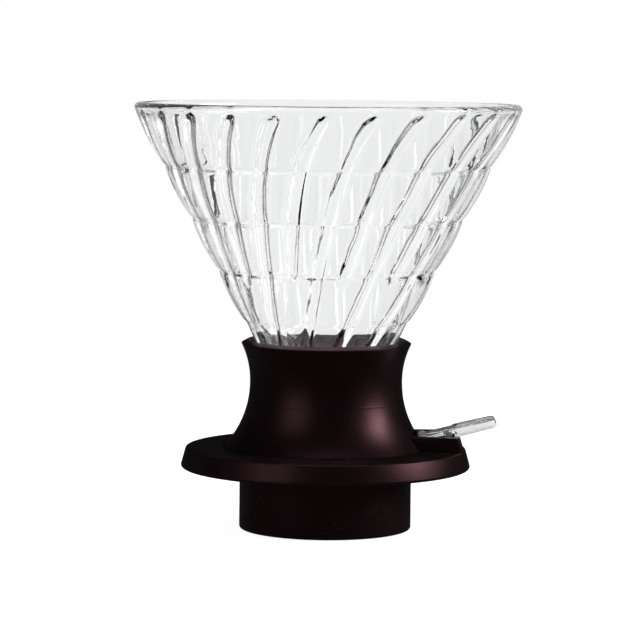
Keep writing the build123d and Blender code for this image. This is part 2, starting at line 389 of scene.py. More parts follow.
def effect(wiring: Wiring, tree: bpy.types.NodeTree, **values: float) -> bpy.types.Node:
    """Places a shared effect in a material.

    Args:
        wiring: The material's wiring.
        tree: The effect's node group.
        values: The group's inputs, with spaces written as underscores.

    Returns:
        The group's node.
    """
    node = wiring.add("ShaderNodeGroup", node_tree=tree)
    for name, value in values.items():
        node.inputs[name.replace("_", " ").capitalize()].default_value = value
    return node


def bumped(wiring: Wiring, shader: bpy.types.Node, height: Socket, distance: float) -> None:
    """Feeds a height to a shader's normal.

    Args:
        wiring: The material's wiring.
        shader: The shader whose normal is bumped.
        height: The height, from 0 to 1.
        distance: How deep a height of 1 is, in metres.
    """
    bump = wiring.add("ShaderNodeBump", {"Height": height, "Distance": distance, "Strength": 1.0})
    wiring.tree.links.new(bump.outputs[0], shader.inputs["Normal"])


@dataclass(frozen=True)
class SoftSkin:
    """Satin moulded silicone, nearly black with a warm sheen."""

    name: str
    colour: tuple[float, float, float] = (0.0016, 0.0008, 0.001)
    worn: tuple[float, float, float] = (0.0034, 0.0017, 0.0022)
    dust_colour: tuple[float, float, float] = (0.16, 0.12, 0.12)
    roughness: float = 0.36
    line_depth: float = 0.8
    dust: float = 0.16
    dust_dulls: float = 0.4
    grain_depth: float = 0.05 * MM
    specular: float = 0.5
    tint: tuple[float, float, float] = (1.0, 0.42, 0.5)

    def make(self) -> bpy.types.Material:
        """Builds the material and returns it."""
        material, w, shader = new_material(self.name)
        skin = effect(w, skin_group(), Roughness=self.roughness, Line_depth=self.line_depth)
        dust = effect(w, dust_group(), Amount=self.dust)
        tone = w.blend(skin.outputs["Blotch"], self.colour, self.worn)
        w.feed(shader.inputs["Base Color"], w.blend(dust.outputs["Dust"], tone, self.dust_colour))
        rough = w.math("MULTIPLY_ADD", dust.outputs["Dust"], self.dust_dulls, skin.outputs["Roughness"])
        w.feed(shader.inputs["Roughness"], rough)
        shader.inputs["Specular IOR Level"].default_value = self.specular
        shader.inputs["Specular Tint"].default_value = (*self.tint, 1)
        bumped(w, shader, skin.outputs["Height"], self.grain_depth)
        return material


@dataclass(frozen=True)
class Clear:
    """Clear glass or clear resin."""

    name: str
    colour: tuple[float, float, float] = (0.985, 0.989, 0.99)
    ior: float = 1.472
    roughness: float = 0.0
    ripple_scale: float = 70.0
    ripple_depth: float = 0.12 * MM
    smear: float = 0.03
    clearness: float = 1.0

    def make(self) -> bpy.types.Material:
        """Builds the material and returns it."""
        material, w, shader = new_material(self.name)
        ripple = effect(w, ripple_group(), Ripple_scale=self.ripple_scale)
        rough = w.math("MULTIPLY_ADD", ripple.outputs["Smear"], self.smear, self.roughness)
        w.feed(shader.inputs["Roughness"], rough)
        shader.inputs["Base Color"].default_value = (*self.colour, 1)
        shader.inputs["Transmission Weight"].default_value = self.clearness
        shader.inputs["IOR"].default_value = self.ior
        bumped(w, shader, ripple.outputs["Height"], self.ripple_depth)
        return material


@dataclass(frozen=True)
class Steel:
    """Polished or drawn stainless steel."""

    name: str
    colour: tuple[float, float, float] = (0.62, 0.61, 0.6)
    roughness: float = 0.12
    scratch: float = 0.18
    scratch_tone: float = 0.82
    scratch_depth: float = 0.004 * MM

    def make(self) -> bpy.types.Material:
        """Builds the material and returns it."""
        material, w, shader = new_material(self.name)
        lines = effect(w, draw_group())
        dull = tuple(channel * self.scratch_tone for channel in self.colour)
        w.feed(shader.inputs["Base Color"], w.blend(lines.outputs["Scratch"], self.colour, dull))
        rough = w.math("MULTIPLY_ADD", lines.outputs["Scratch"], self.scratch, self.roughness)
        w.feed(shader.inputs["Roughness"], rough)
        shader.inputs["Metallic"].default_value = 1.0
        bumped(w, shader, lines.outputs["Height"], self.scratch_depth)
        return material


# ---------------------------------------------------------------- mesh work


def object_of(name: str, mesh: bpy.types.Mesh) -> bpy.types.Object:
    """Puts a mesh into the scene as a new object.

    Args:
        name: The object's name.
        mesh: Its mesh.

    Returns:
        The object.
    """
    made = bpy.data.objects.new(name, mesh)
    bpy.context.scene.collection.objects.link(made)
    return made


def from_bmesh(name: str, shape: bmesh.types.BMesh) -> bpy.types.Object:
    """Turns a bmesh into an object with outward faces.

    Args:
        name: The object's name.
        shape: The bmesh, which is freed.

    Returns:
        The object.
    """
    bmesh.ops.recalc_face_normals(shape, faces=shape.faces)
    mesh = bpy.data.meshes.new(name)
    shape.to_mesh(mesh)
    shape.free()
    return object_of(name, mesh)


def settle(piece: bpy.types.Object) -> bpy.types.Object:
    """Makes a piece's modifiers part of its mesh and removes them.

    Args:
        piece: The object.

    Returns:
        The same object.
    """
    graph = bpy.context.evaluated_depsgraph_get()
    mesh = bpy.data.meshes.new_from_object(piece.evaluated_get(graph), depsgraph=graph)
    piece.modifiers.clear()
    piece.data = mesh
    return piece


def run_tree(piece: bpy.types.Object, tree: bpy.types.NodeTree, keys: dict, values: dict) -> bpy.types.Object:
    """Runs a geometry tree on a piece and keeps the result as its mesh.

    Args:
        piece: The object.
        tree: The tree.
        keys: The identifier of each of its inputs, by name.
        values: What each input gets, by name.

    Returns:
        The same object.
    """
    modifier = piece.modifiers.new("rule", "NODES")
    modifier.node_group = tree
    for name, value in values.items():
        modifier[keys[name]] = value
    return settle(piece)


def combine(piece: bpy.types.Object, other: bpy.types.Object, how: Cut) -> bpy.types.Object:
    """Combines two closed meshes.

    Args:
        piece: The object that is kept.
        other: The object that is added, taken away or intersected, which is then deleted.
        how: Which of these it is.

    Returns:
        The kept object.
    """
    modifier = piece.modifiers.new("combine", "BOOLEAN")
    modifier.operation = how.value
    modifier.solver = "EXACT"
    modifier.object = other
    settle(piece)
    bpy.data.objects.remove(other)
    return piece


def eased(piece: bpy.types.Object, width: float, segments: int = 3, angle: float = 35.0) -> bpy.types.Object:
    """Rounds a piece's sharp edges.

    Args:
        piece: The object.
        width: The width of the rounding.
        segments: How many faces go round each edge.
        angle: Edges sharper than this many degrees are rounded.

    Returns:
        The same object.
    """
    modifier = piece.modifiers.new("ease", "BEVEL")
    modifier.width = width
    modifier.segments = segments
    modifier.limit_method = "ANGLE"
    modifier.angle_limit = math.radians(angle)
    modifier.use_clamp_overlap = True
    return settle(piece)


def smooth(piece: bpy.types.Object, angle: float = 32.0) -> bpy.types.Object:
    """Shades a piece smooth, apart from its sharp edges.

    Args:
        piece: The object.
        angle: Edges sharper than this many degrees stay sharp.

    Returns:
        The same object.
    """
    piece.data.shade_smooth()
    piece.data.set_sharp_from_angle(angle=math.radians(angle))
    return piece


def rounded(corners: Sequence[Sequence[float]], steps: int = 6) -> list[Point]:
    """Draws a closed outline whose corners may be rounded.

    Args:
        corners: Each corner's two coordinates, and then the radius that it is rounded to, if it is.
        steps: How many pieces each rounded corner is drawn with.

    Returns:
        The points in order, with no repeat of the first.
    """
    result: list[Point] = []
    for i, (across, up, *rounding) in enumerate(corners):
        if not rounding:
            result.append((across, up))
            continue
        corner, radius = Vector((across, up)), rounding[0]
        before = (Vector(corners[i - 1][:2]) - corner).normalized()
        after = (Vector(corners[(i + 1) % len(corners)][:2]) - corner).normalized()
        half = before.angle(after) / 2
        reach = radius / math.tan(half)
        start, end = corner + before * reach, corner + after * reach
        centre = corner + (before + after).normalized() * (radius / math.sin(half))
        first = math.atan2(start.y - centre.y, start.x - centre.x)
        turn = math.atan2(end.y - centre.y, end.x - centre.x) - first
        turn = (turn + math.pi) % (2 * math.pi) - math.pi
        for step in range(steps + 1):
            angle = first + turn * step / steps
            result.append((centre.x + radius * math.cos(angle), centre.y + radius * math.sin(angle)))
    return result


def bow(start: Point, end: Point, rise: float, steps: int) -> list[Point]:
    """Points of an arc that bows to the right of the way from start to end.

    Args:
        start: Where the arc starts.
        end: Where it ends.
        rise: How far its middle stands off the straight line.
        steps: How many pieces it is drawn with.

    Returns:
        The points, with both ends.
    """
    first, last = Vector(start), Vector(end)
    span = (last - first).length
    radius = (span * span / 4 + rise * rise) / (2 * abs(rise))
    way = (last - first).normalized()
    side = Vector((way.y, -way.x)) * (1 if rise > 0 else -1)
    centre = (first + last) / 2 - side * (radius - abs(rise))
    half = math.asin(min(1.0, span / 2 / radius))
    result = []
    for step in range(steps + 1):
        angle = -half + 2 * half * step / steps
        spot = centre + side * (radius * math.cos(angle)) + way * (radius * math.sin(angle))
        result.append((spot.x, spot.y))
    return result


def arc(centre: Point, radius: float, start: float, end: float, steps: int) -> list[Point]:
    """Points of an arc about a centre.

    Args:
        centre: The arc's centre.
        radius: Its radius.
        start: The angle it starts at, in degrees.
        end: The angle it ends at, in degrees.
        steps: How many pieces it is drawn with.

    Returns:
        The points, with both ends.
    """
    angles = [math.radians(start + (end - start) * step / steps) for step in range(steps + 1)]
    return [(centre[0] + radius * math.cos(a), centre[1] + radius * math.sin(a)) for a in angles]


def lathe(name: str, points: Sequence[Point], columns: int = 256) -> bpy.types.Object:
    """Turns a closed outline about the Z axis.

    Args:
        name: The object's name.
        points: The outline, as radius and height.
        columns: How many faces go round.

    Returns:
        A closed ring, or a closed solid where the outline touches the axis.
    """
    shape = bmesh.new()
    rings = []
    for radius, height in points:
        if radius < 1e-7:
            rings.append([shape.verts.new((0, 0, height))] * columns)
            continue
        turns = [2 * math.pi * i / columns for i in range(columns)]
        rings.append([shape.verts.new((radius * math.cos(t), radius * math.sin(t), height)) for t in turns])
    for i, ring in enumerate(rings):
        above = rings[(i + 1) % len(rings)]
        if ring[0] is ring[1] and above[0] is above[1]:
            continue
        for j in range(columns):
            k = (j + 1) % columns
            corners = list(dict.fromkeys((ring[j], ring[k], above[k], above[j])))
            shape.faces.new(corners)
    return from_bmesh(name, shape)


def prism(name: str, points: Sequence[Point], low: float, high: float, axis: str) -> bpy.types.Object:
    """Extrudes a closed outline along an axis.

    Args:
        name: The object's name.
        points: The outline: y and z for axis X, x and z for axis Y, x and y for axis Z.
        low: Where the solid starts along the axis.
        high: Where it ends.
        axis: X, Y or Z.

    Returns:
        A closed solid.
    """
    shape = bmesh.new()

    def ring(at: float) -> list[bmesh.types.BMVert]:
        """Places the outline at one end."""
        order = {"X": (2, 0, 1), "Y": (0, 2, 1), "Z": (0, 1, 2)}[axis]
        return [shape.verts.new([(a, b, at)[k] for k in order]) for a, b in points]

    first, last = ring(low), ring(high)
    shape.faces.new(first)
    shape.faces.new(list(reversed(last)))
    for i in range(len(points)):
        j = (i + 1) % len(points)
        shape.faces.new((first[i], last[i], last[j], first[j]))
    return from_bmesh(name, shape)


def tilt(piece: bpy.types.Object, pivot: Vector, degrees: float) -> bpy.types.Object:
    """Turns a piece's mesh about a level axis along Y.

    Args:
        piece: The object.
        pivot: A point on the axis.
        degrees: How far it turns.

    Returns:
        The same object.
    """
    turn = Matrix.Rotation(math.radians(degrees), 4, "Y")
    piece.data.transform(Matrix.Translation(pivot) @ turn @ Matrix.Translation(-pivot))
    return piece


def dress(piece: bpy.types.Object, material: bpy.types.Material) -> bpy.types.Object:
    """Gives a piece one material.

    Args:
        piece: The object.
        material: The material.

    Returns:
        The same object.
    """
    piece.data.materials.clear()
    piece.data.materials.append(material)
    return piece


def hand_over(piece: bpy.types.Object, body: str, node: str) -> None:
    """Makes a finished piece stand for its node.

    Args:
        piece: The finished piece.
        body: The body that it moves with.
        node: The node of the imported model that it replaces.
    """
    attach(piece, body)
    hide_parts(node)
    LOG.info("%s: %d faces on %s", piece.name, len(piece.data.polygons), body)


# ---------------------------------------------------------------- glass cone


@dataclass
class GlassCone:
    """Ribbed glass cone: an outline turned about the axis, then ribs raised on its inside by a rule."""

    foot_radius: float = 13.3 * MM
    rim_bead: float = 3.6 * MM
    wall: float = 3.6 * MM
    top_band: float = 22.7 * MM
    low_ring_above_lip: float = 6.3 * MM
    bands: int = 4
    bulge: float = 0.9 * MM
    groove: float = 0.35 * MM
    groove_width: float = 0.75 * MM
    long_ribs: int = 12
    rib_height: float = 1.75 * MM
    rib_half_width_low: float = 1.7 * MM
    rib_half_width_high: float = 3.0 * MM
    rib_top_below_rim: float = 2.6 * MM
    sweep: float = 29.0
    sweep_height: float = 78.0 * MM
    sweep_top_below_rim: float = 4.4 * MM
    phase: float = -76.7
    unevenness: float = 0.7
    unevenness_scale: float = 70.0
    long_foot: float = 7.5 * MM
    short_foot_bands: float = 0.86
    foot_taper: float = 7.0 * MM
    crest: float = 0.8
    rib_spacing_in_noise: float = 0.37
    column_crowding: float = 0.42
    lean_terms: tuple[float, float, float] = (1.52, -1.77, 1.25)
    columns: int = 24 * 15
    finish: Clear = field(default_factory=lambda: Clear("clear_glass"))

    def __post_init__(self) -> None:
        """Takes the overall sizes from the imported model."""
        low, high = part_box("glass_cone")
        self.rim_radius = high[0]
        self.foot_z, self.top_z = low[2], high[2]
        self.lip_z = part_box("holder")[1][2]
        self.rim_z = self.top_z - self.rim_bead / 2
        self.slope = (self.rim_radius - self.foot_radius) / (self.rim_z - self.foot_z)
        self.low_ring = self.lip_z + self.low_ring_above_lip
        self.top_ring = self.top_z - self.top_band
        self.pitch = (self.top_ring - self.low_ring) / (self.bands - 1)

    def outer(self, z: float) -> float:
        """Radius of the cone's straight outer line at a height."""
        return self.rim_radius - (self.rim_z - z) * self.slope

    def notch(self, z: float, rings: Sequence[float]) -> float:
        """Depth of the soft groove between two bands at a height."""
        return sum(self.groove * math.exp(-((z - ring) / self.groove_width) ** 2) for ring in rings)

    def outline(self) -> list[tuple[float, float, float]]:
        """Gives the wall's outline.

        Returns:
            Radius, height and how much of the inside each point is: 0 outside, 1 inside.
        """
        inner = self.wall
        rings = [self.low_ring + i * self.pitch for i in range(self.bands)] + [self.rim_z]
        points = [(self.outer(self.foot_z) + (rings[0] - self.foot_z) * self.slope * i / 8,
                   self.foot_z + (rings[0] - self.foot_z) * i / 8, 0.0) for i in range(8)]
        for low, high in zip(rings, rings[1:]):
            curve = bow((self.outer(low), low), (self.outer(high), high), self.bulge, 64)
            points += [(r, z, 0.0) for i, (r, z) in enumerate(curve[:-1]) if i % 4 == 0 or i < 8 or i > 56]
        points = [(r - self.notch(z, rings[:-1]), z, mark) for r, z, mark in points]
        middle = self.rim_radius - inner / 2
        for step in range(13):
            angle = math.pi * step / 12
            lift = self.rim_bead / 2 * math.sin(angle)
            points.append((middle + inner / 2 * math.cos(angle), self.rim_z + lift, 1.0 if step == 12 else 0.0))
        rows = 96
        for step in range(1, rows + 1):
            z = self.rim_z + (self.foot_z - self.rim_z) * step / rows
            points.append((self.outer(z) - inner, z, 1.0))
        for step in range(1, 4):
            points.append((self.outer(self.foot_z) - inner * (1 - step / 4), self.foot_z, 0.0))
        return points

    def profile(self) -> bpy.types.Object:
        """Makes the outline a closed loop of edges, with the attribute that marks its inside."""
        points = self.outline()
        mesh = bpy.data.meshes.new("glass_outline")
        count = len(points)
        mesh.from_pydata([(r, 0.0, z) for r, z, _ in points], [(i, (i + 1) % count) for i in range(count)], [])
        inside = mesh.attributes.new("inside", "FLOAT", "POINT")
        inside.data.foreach_set("value", [mark for _, _, mark in points])
        return object_of("glass_cone_visual", mesh)

    def rule(self) -> tuple[bpy.types.NodeTree, dict[str, str]]:
        """Builds the tree that turns the outline and raises the ribs.

        Returns:
            The tree, and the identifier of each input by name.
        """
        tree = bpy.data.node_groups.new("spiral_ribbed_cone", "GeometryNodeTree")
        keys = {"Outline": socket_on(tree, "Outline", "Geometry")}
        for name in ("Columns", "Long ribs"):
            keys[name] = socket_on(tree, name, "Int")
        for name in ("Rib height", "Half width low", "Half width high", "Rib top", "Long foot", "Short foot",
                     "Sweep", "Sweep top", "Sweep height", "Phase", "Unevenness", "Unevenness scale"):
            keys[name] = socket_on(tree, name, "Float")
        keys["Material"] = socket_on(tree, "Material", "Material")
        socket_on(tree, "Cone", "Geometry", "OUTPUT")
        w = Wiring(tree)
        given = w.add("NodeGroupInput").outputs

        loop = w.add("GeometryNodeMeshToCurve", {"Mesh": given["Outline"]}).outputs[0]
        place = w.add("ShaderNodeSeparateXYZ", {0: w.add("GeometryNodeInputPosition").outputs[0]}).outputs
        marked = loop
        for name, value in (("wall_radius", place[0]), ("wall_height", place[2])):
            inputs = {"Geometry": marked, "Name": name, "Value": value}
            marked = w.add("GeometryNodeStoreNamedAttribute", inputs).outputs[0]
        circle = w.add("GeometryNodeCurvePrimitiveCircle", {"Resolution": given["Columns"], "Radius": 1.0})
        share = w.add("GeometryNodeSplineParameter").outputs["Factor"]
        inputs = {"Geometry": circle.outputs[0], "Name": "turn", "Value": share}
        turned = w.add("GeometryNodeStoreNamedAttribute", inputs)
        swept = w.add("GeometryNodeCurveToMesh", {"Curve": turned.outputs[0], "Profile Curve": marked})

        def stored(name: str) -> Socket:
            """Reads one stored attribute."""
            return w.add("GeometryNodeInputNamedAttribute", {"Name": name}, data_type="FLOAT").outputs["Attribute"]

        radius, height, inside = stored("wall_radius"), stored("wall_height"), stored("inside")
        pitch = w.math("DIVIDE", math.pi, given["Long ribs"])
        even = w.math("MULTIPLY", stored("turn"), 2 * math.pi)
        from_rib = w.math("DIVIDE", w.math("SUBTRACT", even, given["Phase"]), pitch)
        pull = w.math("SINE", w.math("MULTIPLY", from_rib, 2 * math.pi))
        crowd = w.math("MULTIPLY", w.math("MULTIPLY", pull, pitch), -self.column_crowding / (2 * math.pi))
        column = w.math("ADD", even, crowd)
        down = w.math("DIVIDE", w.math("SUBTRACT", given["Sweep top"], height), given["Sweep height"])
        squared = w.math("MULTIPLY", down, down)
        lean = w.math("MULTIPLY", down, self.lean_terms[0])
        lean = w.math("MULTIPLY_ADD", squared, self.lean_terms[1], lean)
        lean = w.math("MULTIPLY_ADD", w.math("MULTIPLY", squared, down), self.lean_terms[2], lean)
        angle = w.math("SUBTRACT", column, w.math("MULTIPLY", lean, given["Sweep"]))

        ribs = w.math("DIVIDE", w.math("SUBTRACT", column, given["Phase"]), pitch)
        nearest = w.math("FLOOR", w.math("ADD", ribs, 0.5))
        across = w.math("MULTIPLY", w.math("MULTIPLY", w.math("SUBTRACT", ribs, nearest), pitch), radius)
        odd = w.math("FLOORED_MODULO", nearest, 2.0)
        feet_apart = w.math("SUBTRACT", given["Short foot"], given["Long foot"])
        foot = w.math("MULTIPLY_ADD", odd, feet_apart, given["Long foot"])
        rise = w.math("DIVIDE", w.math("SUBTRACT", height, given["Long foot"]),
                      w.math("SUBTRACT", given["Rib top"], given["Long foot"]))
        grow = w.math("SUBTRACT", given["Half width high"], given["Half width low"])
        half = w.math("MULTIPLY_ADD", rise, grow, given["Half width low"])
        along = w.add("ShaderNodeCombineXYZ", {0: w.math("MULTIPLY", nearest, self.rib_spacing_in_noise), 1: height})
        uneven = w.noise(along.outputs[0], given["Unevenness scale"], 2.0)
        swing = w.math("SUBTRACT", uneven, 0.5)
        across = w.math("MULTIPLY_ADD", swing, w.math("MULTIPLY", given["Unevenness"], half), across)
        reach = w.math("MULTIPLY", half, w.math("MULTIPLY_ADD", swing, given["Unevenness"], 1.0))
        side = w.math("DIVIDE", across, reach)
        above = w.math("DIVIDE", w.math("SUBTRACT", height, w.math("SUBTRACT", given["Rib top"], half)), half)
        below = w.math("DIVIDE", w.math("SUBTRACT", w.math("ADD", foot, self.foot_taper), height), self.foot_taper)
        off = w.math("MULTIPLY", side, side)
        for end in (above, below):
            past = w.math("MAXIMUM", end, 0.0)
            off = w.math("MULTIPLY_ADD", past, past, off)
        crest = w.math("POWER", w.math("MAXIMUM", w.math("SUBTRACT", 1.0, off), 0.0), self.crest)
        raised = w.math("MULTIPLY", w.math("MULTIPLY", crest, given["Rib height"]), inside)
        final = w.math("SUBTRACT", radius, raised)
        spot = w.add("ShaderNodeCombineXYZ", {
            0: w.math("MULTIPLY", final, w.math("COSINE", angle)),
            1: w.math("MULTIPLY", final, w.math("SINE", angle)),
            2: height,
        })
        placed = w.add("GeometryNodeSetPosition", {"Geometry": swept.outputs[0], "Position": spot.outputs[0]})
        soft = w.add("GeometryNodeSetShadeSmooth", {"Geometry": placed.outputs[0], "Shade Smooth": True})
        w.end(soft.outputs[0], given["Material"], "Cone")
        return tree, keys

    def build(self) -> None:
        """Makes the cone and hands it over."""
        piece = self.profile()
        tree, keys = self.rule()
        values = {
            "Columns": self.columns,
            "Long ribs": self.long_ribs,
            "Rib height": self.rib_height,
            "Half width low": self.rib_half_width_low,
            "Half width high": self.rib_half_width_high,
            "Rib top": self.top_z - self.rib_top_below_rim,
            "Long foot": self.foot_z + self.long_foot,
            "Short foot": self.low_ring + self.pitch * self.short_foot_bands,
            "Sweep": math.radians(self.sweep),
            "Sweep top": self.top_z - self.sweep_top_below_rim,
            "Sweep height": self.sweep_height,
            "Phase": math.radians(self.phase),
            "Unevenness": self.unevenness,
            "Unevenness scale": self.unevenness_scale,
            "Material": self.finish.make(),
        }
        run_tree(piece, tree, keys, values)
        self.close(piece)
        hand_over(piece, "glass", "glass_cone")

    def close(self, piece: bpy.types.Object) -> None:
        """Turns the cone's faces outwards and drops the attributes that only its rule needed.

        Args:
            piece: The cone.
        """
        shape = bmesh.new()
        shape.from_mesh(piece.data)
        bmesh.ops.remove_doubles(shape, verts=shape.verts, dist=1e-7)
        bmesh.ops.recalc_face_normals(shape, faces=shape.faces)
        shape.to_mesh(piece.data)
        shape.free()
        for name in ("inside", "wall_radius", "wall_height", "turn"):
            found = piece.data.attributes.get(name)
            if found:
                piece.data.attributes.remove(found)
        piece.data.shade_smooth()


# ---------------------------------------------------------------- holder, seat and ball


@dataclass
class Holder:
    """Waisted sleeve, with the funnel under the glass and the throat round the ball."""

    foot_to_waist: float = 24.1 * MM
    waist_radius: float = 27.75 * MM
    spigot_depth: float = 3.0 * MM
    spigot_inset: float = 1.8 * MM
    spigot_wall: float = 1.9 * MM
    lip_bevel: Point = (2.4 * MM, 1.35 * MM)
    wall: float = 3.2 * MM
    hollow_below_waist: float = 4.0 * MM
    recess_depth: float = 3.6 * MM
    funnel_wall: float = 3.0 * MM
    throat_radius: float = 9.8 * MM
    throat_wall: float = 3.4 * MM
    seat_radius: float = 11.0 * MM
    seat_height: float = 2.7 * MM
    gap: float = 0.4 * MM
    parting_line: float = 17.1 * MM
    line_height: float = 0.025 * MM
    line_width: float = 0.12 * MM
    lip_beyond_glass: float = 4.8 * MM
    foot_above_low: float = 4.4 * MM
    glass_clearance: float = 0.35 * MM
    arch_half_width: float = 8.75 * MM
    arch_top: float = 36.4 * MM
    finish: SoftSkin = field(default_factory=lambda: SoftSkin("holder_silicone_skin"))

    def __post_init__(self) -> None:
        """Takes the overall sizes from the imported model."""
        low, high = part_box("holder")
        self.foot_radius = high[1]
        self.low_z, self.lip_z = low[2], high[2]
        self.foot_z = self.low_z + self.foot_above_low
        self.waist_z = self.foot_z + self.foot_to_waist
        self.lip_corner = self.lip_z - self.lip_bevel[1]

    def flank(self, inset: float, low: float, high: float, steps: int) -> list[Point]:
        """Points of the lower outside curve, going up.

        Args:
            inset: How far inside the outside surface the points lie.
            low: The height that they start at.
            high: The height that they end at.
            steps: How many pieces the curve is drawn with.

        Returns:
            The points, as radius and height.
        """
        flare = self.foot_radius - self.waist_radius
        rise = self.foot_to_waist
        radius = (flare * flare + rise * rise) / (2 * flare)
        centre = self.waist_radius + radius
        heights = [low + (high - low) * step / steps for step in range(steps + 1)]
        return [(centre - math.sqrt((radius + inset) ** 2 - (self.waist_z - z) ** 2), z) for z in heights]

    def neck(self, lip_radius: float, steps: int) -> list[Point]:
        """Points of the upper outside curve, from the waist up to the lip.

        Args:
            lip_radius: The radius of the lip's outer corner.
            steps: How many pieces the curve is drawn with.

        Returns:
            The points, as radius and height.
        """
        flare = lip_radius - self.waist_radius
        rise = self.lip_corner - self.waist_z
        radius = (flare * flare + rise * rise) / (2 * flare)
        centre = self.waist_radius + radius
        heights = [self.waist_z + rise * step / steps for step in range(1, steps + 1)]
        return [(centre - math.sqrt(radius ** 2 - (z - self.waist_z) ** 2), z) for z in heights]

    def raised(self, points: Iterable[Point]) -> list[Point]:
        """Raises the fine parting line on points of the outside and returns them."""
        line = self.foot_z + self.parting_line
        return [(r + self.line_height * math.exp(-((z - line) / self.line_width) ** 2), z) for r, z in points]

    def outside(self, lip_radius: float) -> list[Point]:
        """Points of the whole outside, from the foot up, with the fine raised parting line.

        Args:
            lip_radius: The radius of the lip's outer corner.

        Returns:
            The points, as radius and height.
        """
        line = self.foot_z + self.parting_line
        coarse = self.raised(self.flank(0.0, self.foot_z + 0.35 * MM, self.waist_z, 40) + self.neck(lip_radius, 24))
        fine = []
        for (r, z), (_, above) in zip(coarse, coarse[1:] + [(0.0, 1.0)]):
            fine.append((r, z))
            if z <= line < above:
                base = self.flank(0.0, line - 0.3 * MM, line + 0.3 * MM, 12)
                fine += self.raised((a, b) for a, b in base if z < b < above)
        return fine

    def build(self, glass: GlassCone) -> None:
        """Makes the holder and hands it over.

        Args:
            glass: The cone that stands in it.
        """
        lip_radius = glass.outer(self.lip_z) + self.lip_beyond_glass
        ledge = glass.foot_z - self.glass_clearance
        recess = self.lip_z - self.recess_depth
        funnel_top = recess - 1.0 * MM
        hollow_top = self.waist_z - self.hollow_below_waist
        inner_lip = lip_radius - self.lip_bevel[0]
        spigot_out = self.foot_radius - self.spigot_inset
        funnel_across = self.gap + self.funnel_wall * 1.13
        outline = [
            (self.foot_radius - 0.12 * MM, self.foot_z + 0.1 * MM),
            *self.outside(lip_radius)[:-1],
            (lip_radius, self.lip_corner, 0.3 * MM),
            (inner_lip, self.lip_z, 0.35 * MM),
            (inner_lip - 1.1 * MM, recess, 0.4 * MM),
            (glass.outer(funnel_top) + self.gap, funnel_top, 0.3 * MM),
            (glass.outer(ledge) + self.gap, ledge, 0.2 * MM),
            (self.throat_radius, ledge, 0.3 * MM),
            (self.throat_radius, self.low_z + self.seat_height),
            (self.seat_radius, self.low_z + self.seat_height),
            (self.seat_radius, self.low_z),
            (self.throat_radius + self.throat_wall, self.low_z, 0.4 * MM),
            (self.throat_radius + self.throat_wall, ledge - self.funnel_wall / 2, 1.0 * MM),
            (glass.outer(hollow_top) + funnel_across, hollow_top, 0.5 * MM),
            *reversed(self.flank(self.wall, self.foot_z, hollow_top, 24)),
            (spigot_out - self.spigot_wall, self.foot_z),
            (spigot_out - self.spigot_wall, self.foot_z - self.spigot_depth, 0.3 * MM),
            (spigot_out, self.foot_z - self.spigot_depth, 0.3 * MM),
            (spigot_out, self.foot_z),
            (self.foot_radius - 0.3 * MM, self.foot_z),
        ]
        piece = lathe("holder_visual", rounded(outline), 288)

        start = self.throat_radius + self.throat_wall + self.funnel_wall
        arch = [
            (-self.arch_half_width, self.foot_z - self.spigot_depth - 1.0 * MM),
            (self.arch_half_width, self.foot_z - self.spigot_depth - 1.0 * MM),
            (self.arch_half_width, self.arch_top, 1.2 * MM),
            (-self.arch_half_width, self.arch_top, 1.2 * MM),
        ]
        way_in = prism("arch", rounded(arch), start, self.foot_radius * 1.5, "X")
        combine(piece, way_in, Cut.TAKE)
        smooth(dress(piece, self.finish.make()))
        hand_over(piece, "base", "holder")


@dataclass
class Valve:
    """Seat ring and the ball that closes it."""

    seat_land: float = 0.2 * MM
    seat_chamfer: float = 2.2 * MM
    seat_finish: SoftSkin = field(
        default_factory=lambda: SoftSkin("seat_silicone_skin", (0.03, 0.026, 0.026), (0.045, 0.04, 0.04), dust=0.05)
    )
    ball_finish: Steel = field(default_factory=lambda: Steel("polished_ball_steel", roughness=0.09, scratch=0.1))

    def build(self) -> None:
        """Makes the seat and the ball and hands them over."""
        ball_low, ball_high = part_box("valve_ball")
        radius = (ball_high[2] - ball_low[2]) / 2
        low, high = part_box("valve_seat")
        bore = radius / math.sqrt(2) - self.seat_land
        ring = [
            (bore, low[2], 0.3 * MM),
            (high[0], low[2], 0.25 * MM),
            (high[0], high[2], 0.25 * MM),
            (bore + self.seat_chamfer, high[2], 0.2 * MM),
            (bore, high[2] - self.seat_chamfer, 0.1 * MM),
        ]
        seat = smooth(dress(lathe("valve_seat_visual", rounded(ring), 128), self.seat_finish.make()))
        hand_over(seat, "base", "valve_seat")

        middle = (ball_high[2] + ball_low[2]) / 2
        half_round = arc((0.0, middle), radius, -90, 90, 64)
        half_round[0], half_round[-1] = (0.0, ball_low[2]), (0.0, ball_high[2])
        ball = smooth(dress(lathe("valve_ball_visual", half_round, 128), self.ball_finish.make()))
        hand_over(ball, "ball", "valve_ball")


# ---------------------------------------------------------------- stand


